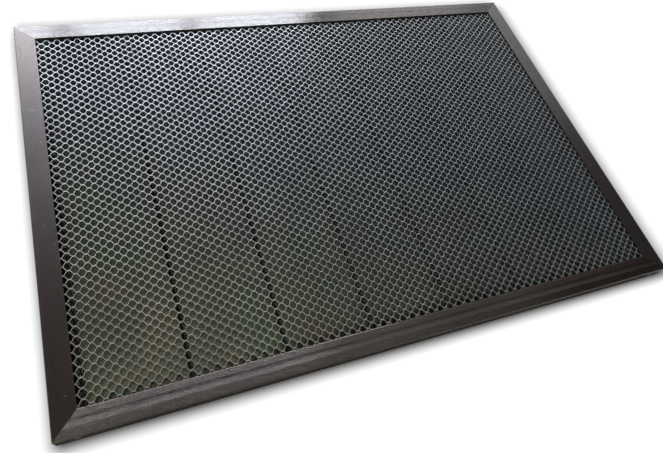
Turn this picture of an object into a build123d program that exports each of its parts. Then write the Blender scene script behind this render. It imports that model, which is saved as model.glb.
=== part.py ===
from build123d import *
import os
from math import atan, tan

# A honeycomb bed for a laser cutter. Four mitred aluminium rails hold a mat of corrugated steel
# strips, and steel rods strung through the strips keep the mat straight. The long rails have a
# shallow relief on top, and the short ones are plain.
# Millimetres. The long side runs along X, the work surface faces +Z, and the origin is at the
# middle of the underside.

# The opening of the frame, which is the work surface
opening_length = 600.0
opening_width = 400.0

# Rail section
rail_width = 20.0
rail_height = 18.0
top_lip = 1.5
bottom_lip = 1.8
channel_depth = 7.0
inner_web = 1.5
outer_wall = 1.8
floor_wall = 1.8
roof_wall = 1.8
lip_radius = 0.4
outer_edge_radius = 1.0

# Relief of the long rails' top face, as widths that follow each other outwards from the opening.
# The slope takes what is left of the rail's width.
flat_strip = 5.8
valley_fall = 2.2
valley_rise = 4.2
crest_width = 0.4
valley_depth = 0.3
valley_radius = 20.0
slope_drop = 0.45

# The mat of strips lies on the bottom lips, with its edges in the rails' channels
mat_top_gap = 0.3
mat_end_gap = 0.6

# Rods across the mat, along Y, as many as come near this spacing
rod_diameter = 4.0
wanted_rod_spacing = 84.0
rod_inset = 5.3
rod_below_mat_top = 5.0
rod_hole_gap = 0.2

# A strip waves along X, and the flats at its crests are bonded to the next strip, which waves the
# other way. The real mat has 96 strips of 0.3 mm with waves of 10.5 mm. This one has cells four
# times as long and nearly five times as wide, in strips over four times as thick, so that it
# weighs what the real one weighs and is as open.
wanted_wave = 42.0
wanted_strip_pitch = 20.6
bond_flat = 8.0
strip_thickness = 1.3

# Angle pieces inside the corners, driven into the short rails and screwed to the long ones
key_leg = 34.0
key_gap = 0.2
key_tip_chamfer = 1.5

# Countersunk screws through the long rails' outer walls into the angle pieces
screw_diameter = 3.0
screw_head_diameter = 5.0
screw_head_depth = 1.0
screw_length = 8.0
screw_inset = 17.0
screw_gap = 0.1

# Two points closer than this are one corner
same_corner = 0.01

# Places that follow from the sizes above
chamber_start = channel_depth + inner_web
chamber_end = rail_width - outer_wall
chamber_top = rail_height - valley_depth - roof_wall
chamber_middle = (floor_wall + chamber_top) / 2
mat_bottom = bottom_lip
mat_thickness = rail_height - top_lip - mat_top_gap - mat_bottom
mat_length = opening_length + 2 * (channel_depth - mat_end_gap)
mat_width = opening_width + 2 * (channel_depth - mat_end_gap)
rod_height = mat_bottom + mat_thickness - rod_below_mat_top
rod_run = opening_length - 2 * rod_inset
rod_spaces = max(1, round(rod_run / wanted_rod_spacing))
rod_spacing = rod_run / rod_spaces
rod_places = [rod_spacing * number - rod_run / 2 for number in range(rod_spaces + 1)]
wave = rod_spacing / max(1, round(rod_spacing / wanted_wave))
strip_count = max(2, round(mat_width / wanted_strip_pitch))
strip_pitch = mat_width / strip_count


def corners_at(section, places):
    """The corners of a flat section that lie at the named places."""
    picked = []
    for corner in section.vertices():
        if any(abs(corner.X - x) + abs(corner.Y - y) < same_corner for x, y in places):
            picked.append(corner)
    return picked


def rail_section(has_relief):
    """The extrusion's section, with X outwards from the opening and Y upwards."""
    lip_underside = rail_height - top_lip
    valley_middle = (flat_strip + valley_fall, rail_height - valley_depth)
    valley_end = flat_strip + valley_fall + valley_rise
    lip_corner = (0, rail_height)
    if has_relief:
        outer_corner = (rail_width, rail_height - slope_drop)
        relief = [
            (flat_strip, rail_height),
            valley_middle,
            (valley_end, rail_height),
            (valley_end + crest_width, rail_height),
        ]
    else:
        outer_corner = (rail_width, rail_height)
        relief = []
    outline = Polyline(
        lip_corner,
        *relief,
        outer_corner,
        (rail_width, 0),
        (0, 0),
        (0, bottom_lip),
        (channel_depth, bottom_lip),
        (channel_depth, lip_underside),
        (0, lip_underside),
        close=True,
    )
    section = make_face(outline)
    section = fillet(corners_at(section, [lip_corner]), min(lip_radius, top_lip / 2))
    section = fillet(corners_at(section, [outer_corner]), outer_edge_radius)
    if has_relief:
        section = fillet(corners_at(section, [valley_middle]), valley_radius)
    chamber = Rectangle(
        chamber_end - chamber_start,
        chamber_top - floor_wall,
        align=(Align.MIN, Align.MIN),
    )
    return section - Pos(chamber_start, floor_wall) * chamber


def mitred_rail(inner_length, distance, has_relief):
    """A rail on the -Y side, whose inner edge is inner_length long and distance from the middle."""
    half = inner_length / 2
    section_plane = Plane(
        origin=(half + rail_width, -distance, 0),
        x_dir=(0, -1, 0),
        z_dir=(-1, 0, 0),
    )
    section = section_plane * rail_section(has_relief)
    blank = extrude(section, amount=inner_length + 2 * rail_width)
    plan = Polyline(
        (-half, -distance),
        (half, -distance),
        (half + rail_width, -distance - rail_width),
        (-half - rail_width, -distance - rail_width),
        close=True,
    )
    return blank & extrude(make_face(plan), amount=rail_height)


def at_screws(thing):
    """A copy of the thing at each screw of the front rail, on its outer face."""
    along = opening_length / 2 + rail_width - screw_inset
    outer_face = -opening_width / 2 - rail_width
    return [Pos(side * along, outer_face, chamber_middle) * thing for side in (-1, 1)]


def front_rail():
    """The front rail, countersunk for its two screws."""
    hole_radius = screw_diameter / 2 + screw_gap
    head_radius = screw_head_diameter / 2 + screw_gap
    seat = Pos(0, 0, -screw_head_depth / 2) * Cone(hole_radius, head_radius, screw_head_depth)
    hole = Pos(0, 0, -outer_wall) * Cylinder(hole_radius, 2 * outer_wall)
    cutter = Rot(90, 0, 0) * (seat + hole)
    rail = mitred_rail(opening_length, opening_width / 2, has_relief=True)
    return rail - at_screws(cutter)


def strip_face(flipped):
    """One corrugated strip in plan, centred on Y = 0, with a crest or a trough at X = 0."""
    rise = (strip_pitch - strip_thickness) / 2
    run = wave / 2 - bond_flat
    corner_shift = strip_thickness / 2 * tan(atan(2 * rise / run) / 2)
    half_waves = round(mat_length / wave) + 2
    upper = []
    lower = []
    for number in range(-half_waves, half_waves + 1):
        side = 1 if number % 2 == 0 else -1
        middle = number * wave / 2
        for edge in (-1, 1):
            upper_x = middle + edge * (bond_flat / 2 + side * corner_shift)
            lower_x = middle + edge * (bond_flat / 2 - side * corner_shift)
            upper.append((upper_x, side * rise + strip_thickness / 2))
            lower.append((lower_x, side * rise - strip_thickness / 2))
    strip = make_face(Polyline(*upper, *reversed(lower), close=True))
    if flipped:
        strip = mirror(strip, Plane.XZ)
    return strip


def honeycomb_core():
    """All the strips bonded at their flats, cut to length and punched for the rods."""
    strips = []
    for number in range(strip_count):
        place = Pos(0, (number - (strip_count - 1) / 2) * strip_pitch)
        strips.append(place * strip_face(number % 2 == 1))
    mat = Sketch() + strips
    mat &= Rectangle(mat_length, mat_width)
    core = extrude(Pos(0, 0, mat_bottom) * mat, amount=mat_thickness)
    hole_width = rod_diameter + 2 * rod_hole_gap
    punch = Box(hole_width, mat_width, hole_width)
    return core - [Pos(along, 0, rod_height) * punch for along in rod_places]


def cross_rod(along):
    """A rod as long as the mat is wide."""
    return Pos(along, 0, rod_height) * Rot(90, 0, 0) * Cylinder(rod_diameter / 2, mat_width)


def corner_key(side_x, side_y):
    """An angle piece in the corner that the two signs name. Its leg along Y fills the short rail."""
    outer = chamber_end - key_gap
    inner = chamber_start + key_gap
    tip_x = chamber_end - key_leg
    tip_y = outer - key_leg
    plan = Polyline(
        (chamber_end, outer),
        (tip_x, outer),
        (tip_x, inner),
        (chamber_start, inner),
        (chamber_start, tip_y),
        (chamber_end, tip_y),
        close=True,
    )
    angle = make_face(plan)
    tips = [(tip_x, outer), (tip_x, inner), (chamber_start, tip_y), (chamber_end, tip_y)]
    angle = chamfer(corners_at(angle, tips), key_tip_chamfer)
    key = extrude(Pos(0, 0, floor_wall) * angle, amount=chamber_top - floor_wall - key_gap)
    hole = Cylinder(screw_diameter / 2 + screw_gap, 2 * (outer - inner))
    key -= Pos(rail_width - screw_inset, outer, chamber_middle) * Rot(90, 0, 0) * hole
    if side_x < 0:
        key = mirror(key, Plane.YZ)
    if side_y < 0:
        key = mirror(key, Plane.XZ)
    return Pos(side_x * opening_length / 2, side_y * opening_width / 2) * key


def screw():
    """A countersunk screw, whose head is flush with Y = 0 and whose shank points to +Y."""
    shank_length = screw_length - screw_head_depth
    head = Cone(screw_diameter / 2, screw_head_diameter / 2, screw_head_depth)
    shank = Cylinder(screw_diameter / 2, shank_length)
    solid = Pos(0, 0, -screw_head_depth / 2) * head
    solid += Pos(0, 0, -screw_head_depth - shank_length / 2) * shank
    return Rot(90, 0, 0) * solid


def corner_screws():
    """Two screws in the front rail and two in the back rail, as one group of separate solids."""
    front = at_screws(screw())
    back = [Rot(0, 0, 180) * fastener for fastener in front]
    return Compound(children=front + back)


def build():
    """Every node by its name."""
    front = front_rail()
    right = Rot(0, 0, 90) * mitred_rail(opening_width, opening_length / 2, has_relief=False)
    nodes = {
        "front_rail": front,
        "right_rail": right,
        "back_rail": Rot(0, 0, 180) * front,
        "left_rail": Rot(0, 0, 180) * right,
        "honeycomb_core": honeycomb_core(),
        "corner_key_front_left": corner_key(-1, -1),
        "corner_key_front_right": corner_key(1, -1),
        "corner_key_back_left": corner_key(-1, 1),
        "corner_key_back_right": corner_key(1, 1),
        "corner_screws": corner_screws(),
    }
    for number, along in enumerate(rod_places, start=1):
        nodes[f"cross_rod_{number}"] = cross_rod(along)
    return nodes


os.makedirs("parts", exist_ok=True)
for name, shape in build().items():
    export_step(shape, f"parts/{name}.step")
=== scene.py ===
# %% [markdown]
# # A honeycomb bed for a laser cutter
#
# The bed is a flat frame of four dark anodised rails, mitred at the corners. It holds a mat of thin
# corrugated steel strips, bonded crest to crest, with steel rods strung across it. The sheet that
# is being cut lies on the strips' upper edges, and smoke and offcuts fall through the cells.
#
# The rails, rods and corner pieces come ready made as a measured model, so this lesson leaves their
# shapes alone and gives them their finish. It models what the measured model only hints at: the
# fine mat itself, and the screws with their cross recess.

# %% The measured model
import math
import bpy
from mathutils import Matrix, Vector


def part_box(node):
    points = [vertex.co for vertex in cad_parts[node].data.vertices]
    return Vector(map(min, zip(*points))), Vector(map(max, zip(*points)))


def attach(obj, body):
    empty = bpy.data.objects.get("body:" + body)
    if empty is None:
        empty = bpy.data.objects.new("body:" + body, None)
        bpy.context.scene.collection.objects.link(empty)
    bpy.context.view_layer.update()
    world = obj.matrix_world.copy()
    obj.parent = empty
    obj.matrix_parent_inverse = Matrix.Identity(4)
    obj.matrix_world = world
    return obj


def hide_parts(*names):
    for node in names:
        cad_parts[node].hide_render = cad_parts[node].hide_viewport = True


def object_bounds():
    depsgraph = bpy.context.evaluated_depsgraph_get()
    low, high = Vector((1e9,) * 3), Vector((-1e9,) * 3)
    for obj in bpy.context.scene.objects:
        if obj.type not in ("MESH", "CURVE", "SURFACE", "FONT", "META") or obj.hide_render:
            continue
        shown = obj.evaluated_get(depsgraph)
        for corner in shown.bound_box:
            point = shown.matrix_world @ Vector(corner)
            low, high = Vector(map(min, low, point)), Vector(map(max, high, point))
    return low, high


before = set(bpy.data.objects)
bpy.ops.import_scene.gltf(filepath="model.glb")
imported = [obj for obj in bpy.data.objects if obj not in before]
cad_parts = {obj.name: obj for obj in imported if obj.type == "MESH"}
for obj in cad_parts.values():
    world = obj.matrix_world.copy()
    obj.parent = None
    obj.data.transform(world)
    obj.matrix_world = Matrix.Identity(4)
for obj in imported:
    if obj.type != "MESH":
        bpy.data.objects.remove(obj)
measured_low, measured_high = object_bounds()
bpy.ops.object.select_all(action="DESELECT")
mm = 0.001
print("parts:", ", ".join(sorted(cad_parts)))
print("size in mm:", [round(edge / mm, 1) for edge in measured_high - measured_low])

# %% [markdown]
# ## The camera
#
# The photograph was taken from above the front left corner, quite close, with a wide lens. A camera
# is easiest to think about as a point it looks at, a direction it looks from, a distance and a
# tilt of the frame. Those four come from matching the rails' edges with the picture. The picture
# is a cropped one, so its middle lies a little beside the lens axis, and the shift moves it there.

# %% The camera
photo_width = 663
looks_at = Vector((-71.19, -84.44, 18.0)) * mm
azimuth = math.radians(-37.429)
elevation = math.radians(59.455)
tilt = math.radians(22.546)
distance = 509.74 * mm
focal_pixels = 507.75
axis_right_of_middle = -22.8
sensor_width = 36.0

back = Vector((
    math.sin(azimuth) * math.cos(elevation),
    -math.cos(azimuth) * math.cos(elevation),
    math.sin(elevation),
))
level_right = (-back).cross(Vector((0, 0, 1))).normalized()
level_up = level_right.cross(-back)
right = level_right * math.cos(tilt) + level_up * math.sin(tilt)
up = level_up * math.cos(tilt) - level_right * math.sin(tilt)

lens = bpy.data.cameras.new("camera")
lens.sensor_width = sensor_width
lens.lens = focal_pixels / photo_width * sensor_width
lens.shift_x = -axis_right_of_middle / photo_width
camera = bpy.data.objects.new("camera", lens)
bpy.context.scene.collection.objects.link(camera)
turn = Matrix((right, up, back)).transposed().to_4x4()
camera.matrix_world = Matrix.Translation(looks_at + back * distance) @ turn
bpy.context.scene.camera = camera
print("camera at", [round(place, 3) for place in camera.matrix_world.translation])
print("lens", round(lens.lens, 1), "mm")

# %% [markdown]
# ## The mat
#
# A strip is a ribbon of galvanised sheet, pressed between toothed rollers into a wave of flats and
# slopes. It could be a curve with a bevel, but a curve gives no clean flats. Walking an edge along
# the wave is closer to what the rollers do: a small upright face is the start, and its leading edge
# is extruded again and again, once for each flat, bend and slope.
#
# A bay is the stretch from one rod to the next. The rods push the cells that they pass through a
# little wider, so the first and the last half wave of a bay are longer than the rest.
#
# The sheet is about 0.3 mm thick. Slitting leaves a burr on its edges, and light catches it, so from
# above they look wider. The strips are given the thickness that the edges seem to have.

# %% Sizes of the mat
core_low, core_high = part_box("honeycomb_core")
rod_names = sorted(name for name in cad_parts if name.startswith("cross_rod"))
rod_places = sorted(sum(corner.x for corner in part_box(name)) / 2 for name in rod_names)
rod_low, rod_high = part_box(rod_names[0])
rod_height = (rod_low.z + rod_high.z) / 2
rod_radius = (rod_high.z - rod_low.z) / 2
bay = rod_places[1] - rod_places[0]
waves_in_bay = 8
strip_count = 96
strip_pitch = (core_high.y - core_low.y) / strip_count
strip_height = core_high.z - core_low.z
strip_thickness = 0.46 * mm
glue_gap = 0.02 * mm
bond_flat = 3.1 * mm
bend_radius = 1.9 * mm
bend_steps = 3
rod_cell_stretch = 1.05
wave_rise = strip_pitch - strip_thickness - glue_gap
print("wave", round(bay / waves_in_bay / mm, 3), "mm, strips", round(strip_pitch / mm, 3), "mm apart")

# %% [markdown]
# The wave is worked out as a walk. A half wave goes from one flat to the next: its slope has the
# angle that the rise and the run give, and each bend takes the same length off the flat and off the
# slope, as a rounded corner does.

# %% Bends
half_wave_count = 2 * waves_in_bay
end_length = rod_cell_stretch * bay / half_wave_count
inner_length = (bay - 2 * end_length) / (half_wave_count - 2)
half_waves = [end_length] + [inner_length] * (half_wave_count - 2) + [end_length]
slopes = [math.atan2(wave_rise, length - bond_flat) for length in half_waves]


def bend_share(slope):
    """The length that a bend takes off the flat and off the slope beside it."""
    return bend_radius * math.tan(slope / 2)


def bend(from_angle, to_angle):
    """The short chords of a bend, as moves along X and Y."""
    turn = (to_angle - from_angle) / bend_steps
    chord = 2 * bend_radius * math.sin(abs(turn) / 2)
    headings = [from_angle + (step + 0.5) * turn for step in range(bend_steps)]
    return [(chord * math.cos(heading), chord * math.sin(heading)) for heading in headings]


print("the slopes stand at", round(math.degrees(slopes[1]), 1), "degrees")

# %% [markdown]
# The walk puts these together: a flat, a bend, a slope and a bend back, down and up in turn. It
# starts on a crest at one rod and ends on a crest at the next, so that bays can follow each other.

# %% The walk along one bay
def walk():
    """The moves along one bay, as steps along X and Y."""
    moves = []
    for number, slope in enumerate(slopes):
        side = -1 if number % 2 == 0 else 1
        flat = bond_flat - bend_share(slopes[number - 1]) - bend_share(slope)
        straight = wave_rise / math.sin(slope) - 2 * bend_share(slope)
        moves.append((flat, 0.0))
        moves += bend(0.0, side * slope)
        moves.append((straight * math.cos(slope), side * straight * math.sin(slope)))
        moves += bend(side * slope, 0.0)
    return moves


moves = walk()
print(len(moves), "moves, sum in mm", [round(sum(axis) / mm, 3) for axis in zip(*moves)])

# %% [markdown]
# Operators work on what is open and selected, as they do by hand. Opening a mesh, picking its edges
# by their place and closing it again come back with every piece, so each gets a name.

# %% Opening a mesh and picking its edges
def open_mesh(piece):
    """Makes the piece the active one and opens its mesh."""
    bpy.context.view_layer.objects.active = piece
    piece.select_set(True)
    bpy.ops.object.mode_set(mode="EDIT")


def close_mesh():
    """Goes back to whole objects, with nothing selected."""
    bpy.ops.object.mode_set(mode="OBJECT")
    bpy.ops.object.select_all(action="DESELECT")


def select_edges(piece, wanted):
    """Selects the edges, of the piece that is open, whose middle passes the test."""
    bpy.ops.mesh.select_mode(type="EDGE")
    bpy.ops.mesh.select_all(action="DESELECT")
    bpy.ops.object.mode_set(mode="OBJECT")
    for edge in piece.data.edges:
        ends = [piece.data.vertices[number].co for number in edge.vertices]
        edge.select = wanted((ends[0] + ends[1]) / 2)
    bpy.ops.object.mode_set(mode="EDIT")


print("ready to open a mesh and pick its edges")

# %% [markdown]
# The first strip starts as a plane, stood upright and made as long as the first flat. Each move of
# the walk extrudes its leading edge once more.

# %% One bay of the first strip
first_flat = moves[0][0]
crest_y = core_low.y + strip_pitch / 2 + wave_rise / 2
middle_z = (core_low.z + core_high.z) / 2
start = Vector((rod_places[0] - bay, crest_y, middle_z))
bpy.ops.mesh.primitive_plane_add(size=1, location=start)
strip = bpy.context.object
strip.name = "mat_band_1"
bpy.ops.object.transform_apply(location=True)
open_mesh(strip)
bpy.ops.transform.resize(value=(first_flat, strip_height, 1), center_override=start)
bpy.ops.transform.rotate(value=math.pi / 2, orient_axis="X", center_override=start)
select_edges(strip, lambda middle: middle.x > start.x + first_flat / 4)
for along, across in moves[1:]:
    bpy.ops.mesh.extrude_region_move(TRANSFORM_OT_translate={"value": (along, across, 0)})
bpy.ops.mesh.select_all(action="SELECT")
bpy.ops.mesh.normals_make_consistent(inside=False)
close_mesh()
print("one bay has", len(strip.data.polygons), "faces")

# %% [markdown]
# Modifiers do what would be slow by hand, such as repeating a shape or cutting one out of another.
# They are applied at once, so that the next step works on plain faces.

# %% Modifiers, copies and cuts
def apply_modifier(piece, kind, **settings):
    """Adds a modifier with these settings and applies it."""
    modifier = piece.modifiers.new(kind.lower(), kind)
    for name, value in settings.items():
        setattr(modifier, name, value)
    with bpy.context.temp_override(object=piece, active_object=piece):
        bpy.ops.object.modifier_apply(modifier=modifier.name)


def copy_of(piece, name):
    """A copy of the piece with its own mesh."""
    twin = piece.copy()
    twin.data = piece.data.copy()
    twin.name = name
    bpy.context.scene.collection.objects.link(twin)
    return twin


def join(pieces):
    """Joins the pieces into the first of them."""
    bpy.ops.object.select_all(action="DESELECT")
    for piece in pieces:
        piece.select_set(True)
    bpy.context.view_layer.objects.active = pieces[0]
    bpy.ops.object.join()
    bpy.ops.object.select_all(action="DESELECT")
    return pieces[0]


def cut_away(piece, cutter):
    """Cuts the cutter's shape out of the piece and throws the cutter away."""
    apply_modifier(piece, "BOOLEAN", operation="DIFFERENCE", solver="EXACT", object=cutter)
    bpy.data.objects.remove(cutter, do_unlink=True)


print("ready to repeat, join and cut")

# %% [markdown]
# An Array sets the bays end to end, with their meeting edges merged, and the mat's two ends are
# then cut off straight, as a saw leaves them. The sheet gets its thickness while it is still a
# single strip, because the rod holes have to go through something solid. Its rim takes the second
# material slot, so that the bright slit edges can look different from the dull sides. Both slots
# hold an empty material until the finishes are made.

# %% The whole first strip
merge_distance = 0.001 * mm
apply_modifier(
    strip, "ARRAY", count=len(rod_places) + 1,
    use_relative_offset=False, use_constant_offset=True,
    constant_offset_displace=(bay, 0, 0),
    use_merge_vertices=True, merge_threshold=merge_distance,
)
for end_x, outwards in ((core_low.x, (-1, 0, 0)), (core_high.x, (1, 0, 0))):
    open_mesh(strip)
    bpy.ops.mesh.select_all(action="SELECT")
    bpy.ops.mesh.bisect(plane_co=(end_x, 0, 0), plane_no=outwards, clear_outer=True)
    close_mesh()
side_slot = bpy.data.materials.new("side")
edge_slot = bpy.data.materials.new("edge")
strip.data.materials.append(side_slot)
strip.data.materials.append(edge_slot)
apply_modifier(
    strip, "SOLIDIFY", thickness=strip_thickness, offset=0.0,
    use_even_offset=True, use_rim=True, material_offset_rim=1,
)
print("a solid strip has", len(strip.data.polygons), "faces")

# %% [markdown]
# The rods run through holes punched in every strip. A drill is a cylinder across the strip at the
# first rod, an Array makes eight of them, and one Boolean cuts all the holes. They have few sides,
# because there are hundreds of them once the strip is repeated.

# %% Holes for the rods
hole_sides = 10
hole_gap = 0.15 * mm
bpy.ops.mesh.primitive_cylinder_add(
    vertices=hole_sides, radius=rod_radius + hole_gap, depth=2 * strip_pitch,
    location=(rod_places[0], crest_y, rod_height), rotation=(math.pi / 2, 0, 0),
)
drill = bpy.context.object
bpy.ops.object.transform_apply(location=True, rotation=True)
apply_modifier(
    drill, "ARRAY", count=len(rod_places),
    use_relative_offset=False, use_constant_offset=True,
    constant_offset_displace=(bay, 0, 0),
)
cut_away(strip, drill)
bpy.ops.object.select_all(action="DESELECT")
print("a punched strip has", len(strip.data.polygons), "faces")

# %% [markdown]
# The next strip is the same one turned over, so that its crests meet the first one's. The pair is
# repeated eight times, which makes a band of sixteen strips, and six bands make the mat. One mesh
# for the whole mat would be too heavy to handle. A mirrored shape is inside out, so its faces are
# turned round again.

# %% A pair of strips, and a band of them
turned = copy_of(strip, "turned_strip")
open_mesh(turned)
bpy.ops.mesh.select_all(action="SELECT")
seam_y = core_low.y + strip_pitch
bpy.ops.transform.resize(value=(1, -1, 1), center_override=(0, seam_y, 0))
bpy.ops.mesh.flip_normals()
close_mesh()
band = join([strip, turned])
strips_in_band = 16
apply_modifier(
    band, "ARRAY", count=strips_in_band // 2,
    use_relative_offset=False, use_constant_offset=True,
    constant_offset_displace=(0, 2 * strip_pitch, 0),
)
print("a band has", len(band.data.polygons), "faces")

# %% [markdown]
# ## Finishes
#
# A finish is a small network of nodes. Written out node by node it is hard to read, so three small
# classes do the wiring. The first is a Channel. It wraps a socket, and each of the usual signs adds a
# Math node behind it, so that 1 - mask can be written as it is meant.

# %% Numbers in a shader
class Channel:
    """A number that a node puts out, and that expressions can use."""

    def __init__(self, socket):
        self.socket = socket

    def maths(self, operation, first, second):
        """A Math node on two values, each a Channel or a plain number."""
        tree = self.socket.node.id_data
        node = tree.nodes.new("ShaderNodeMath")
        node.operation = operation
        for place, value in enumerate((first, second)):
            if isinstance(value, Channel):
                tree.links.new(value.socket, node.inputs[place])
            else:
                node.inputs[place].default_value = value
        return Channel(node.outputs[0])

    def __add__(self, other):
        return self.maths("ADD", self, other)

    def __radd__(self, other):
        return self.maths("ADD", other, self)

    def __sub__(self, other):
        return self.maths("SUBTRACT", self, other)

    def __rsub__(self, other):
        return self.maths("SUBTRACT", other, self)

    def __mul__(self, other):
        return self.maths("MULTIPLY", self, other)

    def __rmul__(self, other):
        return self.maths("MULTIPLY", other, self)

    def __abs__(self):
        return self.maths("ABSOLUTE", self, 0.0)

    def __pow__(self, other):
        return self.maths("POWER", self, other)

    def most(self, other):
        """The larger of the two."""
        return self.maths("MAXIMUM", self, other)


print("ready for shader maths")

# %% [markdown]
# A Wiring adds every other kind of node to a tree. One method takes the node's type, its settings
# and what goes into its sockets. The rest are short names for the nodes that a finish uses most:
# the place on the piece, noise, a ramp, and a mix of two colours.

# %% Trees of nodes
class Wiring:
    """A tree of nodes, and the ways to add to it."""

    def __init__(self, tree):
        self.tree = tree

    def node(self, kind, settings=None, values=None, out=0):
        """Adds a node, sets it up, fills its sockets and gives one of its outputs."""
        node = self.tree.nodes.new("ShaderNode" + kind)
        for name, setting in (settings or {}).items():
            setattr(node, name, setting)
        for name, value in (values or {}).items():
            self.put(value, node.inputs[name])
        return Channel(node.outputs[out])

    def put(self, value, socket):
        """Links a Channel to the socket, or sets the socket to a plain value."""
        if isinstance(value, Channel):
            self.tree.links.new(value.socket, socket)
        else:
            socket.default_value = value

    def place(self, stretch=(1, 1, 1)):
        """The place on the piece in metres, squeezed along each axis."""
        here = self.node("TexCoord", out="Object")
        return self.node("Mapping", None, {"Vector": here, "Scale": stretch})

    def axes(self, vector):
        """The three numbers of a vector."""
        split = self.node("SeparateXYZ", None, {"Vector": vector}).socket.node
        return [Channel(socket) for socket in split.outputs]

    def noise(self, scale, detail=3.0, roughness=0.5, stretch=(1, 1, 1), low=0.35, high=0.65):
        """Cloudy noise from 0 to 1, with its contrast set by low and high."""
        here = self.place(stretch)
        values = {"Vector": here, "Scale": scale, "Detail": detail, "Roughness": roughness}
        return self.ramp(self.node("TexNoise", None, values), low, high)

    def ramp(self, value, low, high, first=0.0, last=1.0):
        """The first level below low, the last above high and even in between."""
        limits = {"Value": value, "From Min": low, "From Max": high, "To Min": first, "To Max": last}
        return self.node("MapRange", {"clamp": True}, limits)

    def mix(self, share, first, second):
        """A colour between two colours."""
        sockets = {0: share, 6: first, 7: second}
        return self.node("Mix", {"data_type": "RGBA"}, sockets, out=2)

    def vector(self, operation, first, second, last="Vector"):
        """Vector Math on two vectors, or on a vector and a number for SCALE."""
        sockets = {0: first, ("Scale" if operation == "SCALE" else 1): second}
        return self.node("VectorMath", {"operation": operation}, sockets, out=last)

    def rays(self, *kinds):
        """1 for the named kinds of ray, such as Camera, and 0 for the rest."""
        path = self.node("LightPath").socket.node.outputs
        seen = Channel(path[f"Is {kinds[0]} Ray"])
        for kind in kinds[1:]:
            seen = seen.most(Channel(path[f"Is {kind} Ray"]))
        return seen


print("ready to wire nodes")

# %% [markdown]
# A Finish is the Wiring of one material. What is the same all over a surface is named when the
# finish is made, and what changes from place to place is set afterwards.

# %% Materials
class Finish(Wiring):
    """A material and its main shader."""

    def __init__(self, name, **constants):
        self.material = bpy.data.materials.new(name)
        self.material.use_nodes = True
        super().__init__(self.material.node_tree)
        self.shader = self.tree.nodes["Principled BSDF"]
        for socket, value in constants.items():
            self.shader.inputs[socket.replace("_", " ")].default_value = value

    def set(self, socket, value):
        """Feeds one of the main shader's sockets."""
        self.put(value, self.shader.inputs[socket])


print("ready to mix finishes")

# %% [markdown]
# ## The rails
#
# An extrusion leaves its die with fine lines along its length, too fine to see one by one. They
# show in the reflections: a bright window is drawn out across a rail, but stays sharp along it. The
# shader's own anisotropy would need a direction for every face. Here the lines themselves do the
# work. The surface is divided into tiny facets, sixty to a millimetre across the lines and twenty
# along them. Each facet leans a little to one side or the other, never along the rail.

# %% Facets that lean
facets_across = 60 / mm
facets_along = 20 / mm
lean_changes_from = -60 * mm
lean_changes_to = 200 * mm


def drawn_normal(finish, along, facet_lean):
    """The surface's normal, made to lean at random across the drawing lines.

    The lean is given at the rail's low end and at its high end.
    """
    axis = "XY".index(along)
    fine = [facets_across] * 3
    fine[axis] = facets_along
    facet = finish.vector("FLOOR", finish.place(fine), (0, 0, 0))
    draw = finish.node("TexWhiteNoise", {"noise_dimensions": "3D"}, {"Vector": facet}, out="Color")
    chance = finish.axes(draw)
    place_along = finish.axes(finish.place())[axis]
    amount = finish.ramp(place_along, lean_changes_from, lean_changes_to, *facet_lean)
    lean = (chance[0] + chance[1] - 1.0) * amount
    across = (0, 1, 1) if along == "X" else (1, 0, 1)
    aside = finish.vector("SCALE", across, lean)
    normal = finish.node("NewGeometry", out="Normal")
    return finish.vector("NORMALIZE", finish.vector("ADD", normal, aside), (0, 0, 0))


print("a facet is", round(1 / facets_across / mm, 3), "by", round(1 / facets_along / mm, 3), "mm")

# %% [markdown]
# The anodised film is dark and slightly brown, with faint clouds, and streaks along the drawing
# lines. A streak is noise whose pattern is pulled out to hundreds of times its width.
#
# Handling has left a few pale nicks. Two pale marks on the front rail are painted instead: a painted
# glint on its outer face by the right corner, and a painted highlight along its inner lip. Each one
# is a small box around a middle. How far a place lies from the middle, as a share of the box's reach,
# says whether the film is worn off there, or where the glint is painted.

# %% Bronze film
bronze_dark = (0.012, 0.008, 0.006, 1)
bronze_light = (0.026, 0.016, 0.013, 1)
bare_metal_and_glint = (0.50, 0.47, 0.45, 1)
film_index = 2.15
cloud_share = 0.55
streak_share = 0.45
streak_squeeze = 0.003
nick_and_glint_edge, nick_and_glint_core = 1.0, 0.4
nick_and_glint_share = 0.6
streak_blur = 0.02
smudge_blur = 0.03


def with_nicks_and_glints(finish, colour, nicks_and_glints):
    """The colour with bare metal in each nick, and the same pale colour as a painted glint in each
    glint's box.
    """
    here = finish.axes(finish.place())
    for middle, reach in nicks_and_glints:
        off = [abs(here[axis] - middle[axis] * mm) * (1 / (reach[axis] * mm)) for axis in range(3)]
        mark = finish.ramp(off[0].most(off[1]).most(off[2]), nick_and_glint_edge, nick_and_glint_core)
        colour = finish.mix(mark * nick_and_glint_share, colour, bare_metal_and_glint)
    return colour


def rail_finish(name, along, facet_lean, blur, painted_shine_tint, nicks_and_glints):
    """Bronze anodising on an extrusion drawn along the axis named. The painted shine tint gives its
    reflections the colour of the light on that side.
    """
    finish = Finish(name, Metallic=0.0, IOR=film_index, Specular_Tint=painted_shine_tint)
    squeeze = (streak_squeeze, 1, 1) if along == "X" else (1, streak_squeeze, 1)
    streaks = finish.noise(scale=900, roughness=0.6, stretch=squeeze, low=0.3, high=0.7)
    clouds = finish.noise(scale=14, detail=4, roughness=0.55)
    smudges = finish.noise(scale=9, roughness=0.6, low=0.45, high=0.7)
    shade = clouds * cloud_share + streaks * streak_share
    colour = finish.mix(shade, bronze_dark, bronze_light)
    finish.set("Base Color", with_nicks_and_glints(finish, colour, nicks_and_glints))
    finish.set("Roughness", blur + streaks * streak_blur + smudges * smudge_blur)
    finish.set("Normal", drawn_normal(finish, along, facet_lean))
    return finish.material


print("streaks are drawn out", round(1 / streak_squeeze), "times")
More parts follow.
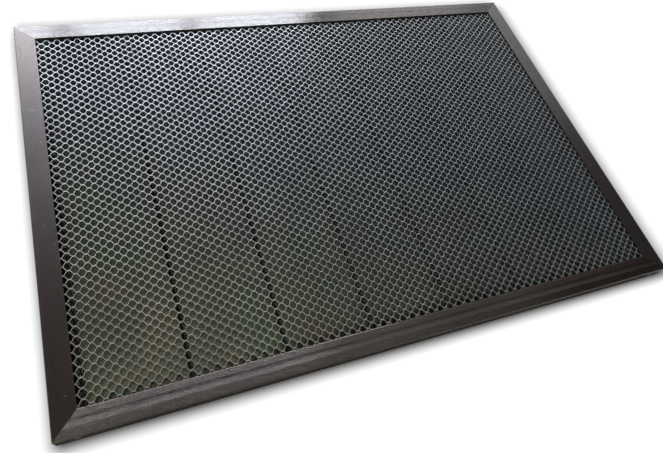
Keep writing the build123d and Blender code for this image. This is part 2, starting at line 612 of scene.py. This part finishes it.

# %% [markdown]
# Each rail comes from its own length of stock, and has been handled in its own way. So each has its
# own lean and blur. Each also has a painted tint for its shine, which gives its reflections the
# colour of the light on that side. The nicks and the front rail's painted glints are placed one by
# one where the photograph shows them. Each has the millimetres of its middle, and how far it reaches
# from there along X, Y and Z.

# %% The four rails
left_nicks = [
    ((-310.0, 100.0, 18), (4.0, 0.45, 1)),
    ((-305.0, 58.8, 18), (1.1, 0.7, 1)),
    ((-302.6, -54.0, 18), (0.6, 0.6, 1)),
    ((-309.9, -34.5, 18), (0.6, 0.6, 1)),
    ((-306.9, -188.0, 18), (0.5, 0.5, 1)),
    ((-299.9, 142.0, 18), (0.8, 1.2, 1)),
]
# Painted glint on the outer face by the right corner, and a painted highlight along the inner lip.
front_painted_glints = [
    ((312.0, -220.0, 1.2), (6.0, 0.6, 1.4)),
    ((-60.0, -200.3, 18), (45.0, 0.5, 0.6)),
]
# The fourth entry is each rail's painted shine tint, for the colour of the light on its side.
rails = {
    "front": ("X", (1.08, 0.46), 0.18, (1.0, 0.89, 0.75, 1), front_painted_glints),
    "back": ("X", (0.75, 0.75), 0.15, (1.0, 0.97, 0.95, 1), []),
    "left": ("Y", (0.78, 0.78), 0.32, (1.0, 0.90, 0.81, 1), left_nicks),
    "right": ("Y", (0.42, 0.42), 0.27, (0.97, 1.0, 0.96, 1), []),
}


def dress(node, material):
    """Gives a piece of the measured model its finish."""
    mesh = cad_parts[node].data
    mesh.materials.clear()
    mesh.materials.append(material)


for side, (along, facet_lean, blur, painted_shine_tint, nicks_and_glints) in rails.items():
    material = rail_finish(f"bronze_{side}", along, facet_lean, blur, painted_shine_tint, nicks_and_glints)
    dress(f"{side}_rail", material)
print(len(rails), "rails dressed")

# %% [markdown]
# ## Steel of the mat
#
# The strips are galvanised sheet, slit to width. The sides keep their zinc, which is grey and
# mottled, and dull where a bed has been used. The slit edges are bare and brighter, but rough.
# Towards the front left, the sides and the edges turn a little yellower.

# %% The sides' zinc
yellow_slant = 0.5
yellow_reach = 240 * mm
zinc_bluer = ((0.53, 0.55, 0.56, 1), (0.65, 0.67, 0.68, 1))
zinc_yellower = ((0.54, 0.54, 0.50, 1), (0.66, 0.66, 0.62, 1))
zinc_dull = (0.43, 0.44, 0.43, 1)
dull_share = 0.35
zinc_blur, spangle_blur = 0.25, 0.10


def front_left(finish):
    """0 from the middle of the bed to the back and the right, rising to 1 at the front left."""
    x, y, z = finish.axes(finish.place())
    return finish.ramp(y + x * yellow_slant, 0.0, -yellow_reach)


def zinc_finish():
    """The flat side of the galvanised strip."""
    finish = Finish("galvanised_side", Metallic=0.95)
    spangle = finish.noise(scale=260)
    patches = finish.noise(scale=30, detail=2)
    bluer = finish.mix(spangle, *zinc_bluer)
    yellower = finish.mix(spangle, *zinc_yellower)
    colour = finish.mix(front_left(finish), bluer, yellower)
    finish.set("Base Color", finish.mix(patches * dull_share, colour, zinc_dull))
    finish.set("Roughness", zinc_blur + spangle * spangle_blur)
    return finish.material


zinc = zinc_finish()
print("made", zinc.name)

# %% [markdown]
# The slit edges turn yellower towards the front left in the same way, on finer streaks and a rougher
# ground.

# %% The slit edges
edge_bluer = ((0.49, 0.50, 0.51, 1), (0.65, 0.66, 0.67, 1))
edge_yellower = ((0.53, 0.51, 0.42, 1), (0.69, 0.67, 0.56, 1))
edge_blur, patch_blur = 0.43, 0.12


def cut_edge_finish():
    """The edge that the slitting rollers leave."""
    finish = Finish("slit_edge", Metallic=0.7)
    streaks = finish.noise(scale=420, roughness=0.6)
    patches = finish.noise(scale=18)
    bluer = finish.mix(streaks, *edge_bluer)
    yellower = finish.mix(streaks, *edge_yellower)
    finish.set("Base Color", finish.mix(front_left(finish), bluer, yellower))
    finish.set("Roughness", edge_blur + patches * patch_blur)
    return finish.material


cut_edge = cut_edge_finish()
print("made", cut_edge.name)

# %% [markdown]
# The same band serves six times. Real strips are bent a little unevenly by the rollers and by
# handling, so each band gets a very slight Displace from a cloudy texture, along X and along Y. The
# texture is read at the place on the mat, so bands that meet are pushed alike and stay together.

# %% Six bands
rolling = bpy.data.textures.new("uneven_rolling", "CLOUDS")
rolling.noise_scale = 30 * mm
rolling.noise_depth = 1
unevenness = 0.42 * mm
bands = [band]
band_width = strips_in_band * strip_pitch
for number in range(1, strip_count // strips_in_band):
    twin = copy_of(band, f"mat_band_{number + 1}")
    twin.data.transform(Matrix.Translation((0, number * band_width, 0)))
    bands.append(twin)
for piece in bands:
    piece.data.materials[0] = zinc
    piece.data.materials[1] = cut_edge
    for axis in "XY":
        apply_modifier(
            piece, "DISPLACE", texture=rolling, texture_coords="LOCAL", direction=axis,
            strength=unevenness, mid_level=0.5,
        )
    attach(piece, "root")
    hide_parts("honeycomb_core")
triangles = sum(len(face.vertices) - 2 for piece in bands for face in piece.data.polygons)
print(len(bands), "bands,", triangles, "triangles in all")

# %% [markdown]
# ## Screws
#
# A countersunk screw could be turned from one profile with a spin, but its head is a plain cone, so
# a cone of the right size is the start. The shank is the cone's small end, extruded. The screw is
# modelled in its place at the front left corner, with its head flush in the rail's outer face.

# %% One screw
screws_low, screws_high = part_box("corner_screws")
head_radius = (screws_high.z - screws_low.z) / 2
screw_x = screws_high.x - head_radius
screw_z = (screws_low.z + screws_high.z) / 2
head_sides = 32
shank_radius = 1.5 * mm
head_depth = 1.0 * mm
screw_length = 8.0 * mm
head_middle = Vector((-screw_x, screws_low.y + head_depth / 2, screw_z))
bpy.ops.mesh.primitive_cone_add(
    vertices=head_sides, radius1=head_radius, radius2=shank_radius, depth=head_depth,
    location=head_middle, rotation=(-math.pi / 2, 0, 0),
)
screw = bpy.context.object
screw.name = "corner_screw_front_left"
bpy.ops.object.transform_apply(location=True, rotation=True)


def select_faces(piece, wanted):
    """Selects the faces, of the piece that is open, whose middle passes the test."""
    bpy.ops.mesh.select_mode(type="FACE")
    bpy.ops.mesh.select_all(action="DESELECT")
    bpy.ops.object.mode_set(mode="OBJECT")
    for face in piece.data.polygons:
        face.select = wanted(face.center)
    bpy.ops.object.mode_set(mode="EDIT")


open_mesh(screw)
select_faces(screw, lambda middle: middle.y > head_middle.y + head_depth / 4)
inwards = (0, screw_length - head_depth, 0)
bpy.ops.mesh.extrude_region_move(TRANSFORM_OT_translate={"value": inwards})
close_mesh()
print("the screw has", len(screw.data.polygons), "faces")

# %% [markdown]
# A cross recess is pressed into the head by a punch with four tapering wings. Two wedges that cross
# each other do the same here, with a Boolean each. Their tips are narrower, as the punch's is, or it
# would stick.

# %% Its cross recess
recess_length = 2.7 * mm
recess_width = 0.6 * mm
recess_depth = 1.3 * mm
recess_taper = 0.45
wedge_middle = Vector((-screw_x, screws_low.y, screw_z))
for quarter in (0, math.pi / 2):
    bpy.ops.mesh.primitive_cube_add(size=1, location=wedge_middle)
    wedge = bpy.context.object
    bpy.ops.object.transform_apply(location=True)
    open_mesh(wedge)
    bpy.ops.mesh.select_all(action="SELECT")
    size = (recess_length, 2 * recess_depth, recess_width)
    bpy.ops.transform.resize(value=size, center_override=wedge_middle)
    bpy.ops.transform.rotate(value=quarter, orient_axis="Y", center_override=wedge_middle)
    select_faces(wedge, lambda middle: middle.y > wedge_middle.y + recess_depth / 2)
    tip = (wedge_middle.x, wedge_middle.y + recess_depth, wedge_middle.z)
    bpy.ops.transform.resize(value=(recess_taper, 1, recess_taper), center_override=tip)
    close_mesh()
    cut_away(screw, wedge)
bpy.ops.object.select_all(action="DESELECT")
print("with its recess it has", len(screw.data.polygons), "faces")

# %% [markdown]
# ## Steel and plain aluminium
#
# The rods are plain drawn steel, painted nearly black as painted shade for the dark cells around
# them. The corner pieces are aluminium as it leaves the press, and the screws are zinc plated. They
# are small or half hidden, so one plain finish serves them all, with a colour and a dullness for
# each.

# %% Rods, corner pieces and screws
cloud_blur = 0.10


def plain_metal(name, dark, light, blur):
    """A metal with faint clouds."""
    finish = Finish(name, Metallic=1.0)
    clouds = finish.noise(scale=120)
    finish.set("Base Color", finish.mix(clouds, dark, light))
    finish.set("Roughness", blur + clouds * cloud_blur)
    return finish.material


# Painted shade: the rods' steel is nearly black, for the dark cells around them.
rod_steel_painted_dark = plain_metal("drawn_rod", (0.07, 0.07, 0.07, 1), (0.13, 0.13, 0.12, 1), 0.25)
mill_aluminium = plain_metal("mill_aluminium", (0.55, 0.55, 0.54, 1), (0.72, 0.72, 0.71, 1), 0.4)
zinc_plate = plain_metal("zinc_plate", (0.72, 0.72, 0.68, 1), (0.86, 0.86, 0.82, 1), 0.35)
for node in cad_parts:
    if node.startswith("cross_rod"):
        dress(node, rod_steel_painted_dark)
    if node.startswith("corner_key"):
        dress(node, mill_aluminium)
dress("corner_screws", zinc_plate)
print("made", ", ".join(metal.name for metal in (rod_steel_painted_dark, mill_aluminium, zinc_plate)))

# %% [markdown]
# The screw is copied to the other three corners. The two at the back are turned half round with
# their rail. No fitter stops two screws at the same angle, so each has its own.

# %% Four screws
screw.data.materials.append(zinc_plate)
to_axis = Matrix.Translation(wedge_middle)
stops = {"front_left": 25, "front_right": 70, "back_right": 8, "back_left": 52}
screws = {"front_left": screw}
for corner in ("front_right", "back_right", "back_left"):
    screws[corner] = copy_of(screw, f"corner_screw_{corner}")
for corner, piece in screws.items():
    stop = Matrix.Rotation(math.radians(stops[corner]), 4, "Y")
    piece.data.transform(to_axis @ stop @ to_axis.inverted())
    if corner in ("front_right", "back_left"):
        piece.data.transform(Matrix.Translation((2 * screw_x, 0, 0)))
    if corner in ("back_right", "back_left"):
        piece.data.transform(Matrix.Rotation(math.pi, 4, "Z"))
    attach(piece, "root")
    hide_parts("corner_screws")
print(len(screws), "screws")

# %% [markdown]
# ## Floor
#
# The background of the photograph is pure white. The bed's soft shade around it is painted shade,
# given off by the floor itself and not cast by the lamps. A level of 1 is white. How clear of the
# painted shade a place is follows from how far outside the bed it lies, and each side has its own
# start and width. The distances beside the bed and before or behind it are joined as the two sides
# of a right angle, which rounds the shade's corners.

# %% Painted shade around the bed
right_start, right_shade = 3 * mm, 43 * mm
left_start, left_shade = -6 * mm, 19 * mm
front_start, front_shade = -3 * mm, 17 * mm
back_start, back_shade = -5 * mm, 43 * mm


def clear_of_painted_shade(finish, x, y):
    """0 in the deepest painted shade, rising to 1 where the floor is white."""
    right_of = (x - (measured_high.x + right_start)) * (1 / right_shade)
    left_of = ((measured_low.x - left_start) - x) * (1 / left_shade)
    before = ((measured_low.y - front_start) - y) * (1 / front_shade)
    behind = (y - (measured_high.y + back_start)) * (1 / back_shade)
    beside = right_of.most(left_of).most(0.0)
    lengthways = before.most(behind).most(0.0)
    out = (beside * beside + lengthways * lengthways) ** 0.5
    soft = {"interpolation_type": "SMOOTHSTEP", "clamp": True}
    return finish.node("MapRange", soft, {"Value": out, "From Min": 0.0, "From Max": 1.0})


print("the shade is", round(left_shade / mm), "to", round(right_shade / mm), "mm wide")

# %% [markdown]
# Inside the frame, a bench shows through the cells. It is a painted dark sheet that stands for the
# shade under the mat, and the floor gives its colours off by itself: blue grey and green at the back,
# and lighter towards the front left as painted light, with some brown dirt there. Under the rails it
# is black, as painted shade.

# %% Painted bench under the mat
black = (0, 0, 0, 1)
bench_far_painted_shade = ((0.042, 0.047, 0.056, 1), (0.040, 0.056, 0.050, 1))
bench_near_painted_light = ((0.064, 0.068, 0.052, 1), (0.060, 0.080, 0.048, 1))
bench_dirt = (0.082, 0.074, 0.052, 1)
left_rail_low, left_rail_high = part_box("left_rail")
rail_width = left_rail_high.x - left_rail_low.x
bench_edge = rail_width + 1 * mm
bench_clear = rail_width + 9 * mm


def painted_bench_and_shade(finish, away):
    """The painted bench inside the frame: painted shade, lighter towards the front left as painted
    light, and black under the rails. Away is the distance outside the frame's outer edge.
    """
    clouds = finish.noise(scale=9, detail=2, low=0.4, high=0.65)
    dirt = finish.noise(scale=23, detail=2, low=0.45, high=0.6)
    far = finish.mix(clouds, *bench_far_painted_shade)
    near = finish.mix(dirt, finish.mix(clouds, *bench_near_painted_light), bench_dirt)
    bench = finish.mix(front_left(finish), far, near)
    # Painted shade: black under the rails, fading to the bench a little inside them.
    inside = finish.ramp(away, -bench_edge, -bench_clear)
    return finish.mix(inside, black, bench)


print("the bench starts", round(bench_edge / mm, 1), "mm inside the frame's outer edge")

# %% [markdown]
# The floor gives off these levels by itself, for the camera and for what the metal mirrors, so that
# they don't hang on the lamps: the shade around the bed is painted into this glow. For the lamps' own
# light it is nearly black in the shade, because light on it there would wash the shade out. The rails
# mirror the floor a little way off as white, and closer in as painted shade, dark.

# %% Floor
white = (1, 1, 1, 1)
floor_in_shade = (0.04, 0.04, 0.04, 1)
floor_in_light = (0.80, 0.80, 0.80, 1)
light_from = 0.97
mirrored_reach = 70 * mm
floor_size = 8
floor_drop = 0.05 * mm


def floor_finish():
    """A pale floor, with the bed's shade painted around it and the painted bench glowing through the
    mat.
    """
    finish = Finish("floor", Roughness=0.9, Emission_Strength=1.0)
    x, y, z = finish.axes(finish.place())
    clear = clear_of_painted_shade(finish, x, y)
    lit = finish.ramp(clear, light_from, 1.0)
    finish.set("Base Color", finish.mix(lit, floor_in_shade, floor_in_light))
    away = (abs(x) - measured_high.x).most(abs(y) - measured_high.y)
    mirrored = finish.ramp(away, 0.0, mirrored_reach)
    bench = painted_bench_and_shade(finish, away)
    shown = finish.mix(finish.rays("Camera", "Glossy", "Transmission"), black, bench)
    # Painted shade: the glow is cut back near the bed, for the camera and for what the rails mirror.
    around = (clear * finish.rays("Camera", "Transmission")).most(mirrored * finish.rays("Glossy"))
    finish.set("Emission Color", finish.mix(around, shown, white))
    return finish.material


bpy.ops.mesh.primitive_plane_add(size=floor_size, location=(0, 0, -floor_drop))
floor = bpy.context.object
floor.name = "floor"
bpy.ops.object.transform_apply(location=True)
floor.data.materials.append(floor_finish())
bpy.ops.object.select_all(action="DESELECT")
print("floor", floor_size, "m wide")

# %% [markdown]
# ## Light
#
# The rails mirror a window behind the bed and the pale wall to its right. Each part of them is a
# soft lamp, an area light that stands on one wall and faces the bed. A lamp's power is what its face
# gives off, so it is worked out from how bright the face should look.

# %% A soft lamp
wall_y = 1.28


def softbox(name, low, high, glow, tint=(1, 1, 1)):
    """A soft lamp on the wall behind the bed, from a low left to a high right corner, as X and Z.

    Glow is how bright its face is, where 1 is white.
    """
    width = high[0] - low[0]
    height = high[1] - low[1]
    light = bpy.data.lights.new(name, "AREA")
    light.shape = "RECTANGLE"
    light.size = width
    light.size_y = height
    light.energy = glow * math.pi * width * height
    light.color = tint
    lamp = bpy.data.objects.new(name, light)
    bpy.context.scene.collection.objects.link(lamp)
    middle = Vector(((low[0] + high[0]) / 2, wall_y, (low[1] + high[1]) / 2))
    lamp.matrix_world = Matrix.Translation(middle) @ Matrix.Rotation(-math.pi / 2, 4, "X")
    return lamp


print("the wall is", wall_y, "m behind the middle of the bed")

# %% [markdown]
# The window has three bright panes below and dimmer, bluer ones above. Its bars are the gaps between
# the panes, and show as dark marks in the back rail. To its right the wall has four stretches, each
# with its own level. What the rails show from place to place gave the sizes and the levels.

# %% Window and wall
pane_tint = (0.88, 0.92, 1.0)
sky_tint = (0.64, 0.67, 1.0)
pane_sides = ((-0.70, -0.365), (-0.325, 0.032), (0.062, 0.458))
for number, (left_side, right_side) in enumerate(pane_sides, start=1):
    softbox(f"pane_{number}", (left_side, 0.29), (right_side, 0.90), 16.2, pane_tint)
softbox("upper_panes", (-0.70, 0.94), (0.455, 1.45), 2.8, sky_tint)
softbox("near_wall", (0.56, 0.24), (1.10, 1.40), 2.2)
softbox("far_wall", (1.13, 0.50), (1.46, 1.60), 1.15)
softbox("wall_by_corner", (1.48, 0.60), (1.74, 1.60), 1.70)
softbox("right_wall", (1.76, 0.85), (2.80, 2.10), 1.05)
print("lamps on the wall:", len(bpy.data.lights))

# %% [markdown]
# A last lamp is the room's own light, a little yellow. It stands in front of the bed on the left,
# on the camera's side, and faces the bed's middle.

# %% The room's lamp
room_tint = (1.0, 0.96, 0.76)
room_place = Vector((-0.75, -0.85, 0.75))
room = softbox("room", (-0.35, 0.0), (0.35, 0.7), 1.7, room_tint)
facing = room_place.to_track_quat("Z", "Y").to_matrix().to_4x4()
room.matrix_world = Matrix.Translation(room_place) @ facing
print("the room's lamp is", round(room_place.length, 2), "m away")

# %% [markdown]
# The world is white for the camera and a low level for everything else. What the metal mirrors is
# white at the horizon, where the white floor would go on, and nearly black overhead.

# %% World
around_level = 0.14
overhead_level = 0.03
horizon_ends, overhead_starts = 0.02, 0.15
world = bpy.data.worlds.new("studio")
bpy.context.scene.world = world
world.use_nodes = True
sky = Wiring(world.node_tree)
background = sky.tree.nodes["Background"]
upwards = sky.axes(sky.node("TexCoord", out="Generated"))[2]
mirrored_level = sky.ramp(upwards, horizon_ends, overhead_starts, 1.0, overhead_level)
glossy = sky.rays("Glossy")
seen = sky.rays("Camera", "Transmission")
level = around_level + seen * (1.0 - around_level) + glossy * (mirrored_level - around_level)
sky.put(level, background.inputs["Strength"])
background.inputs["Color"].default_value = white
bpy.context.scene.view_settings.view_transform = "Standard"
print("world level", around_level)
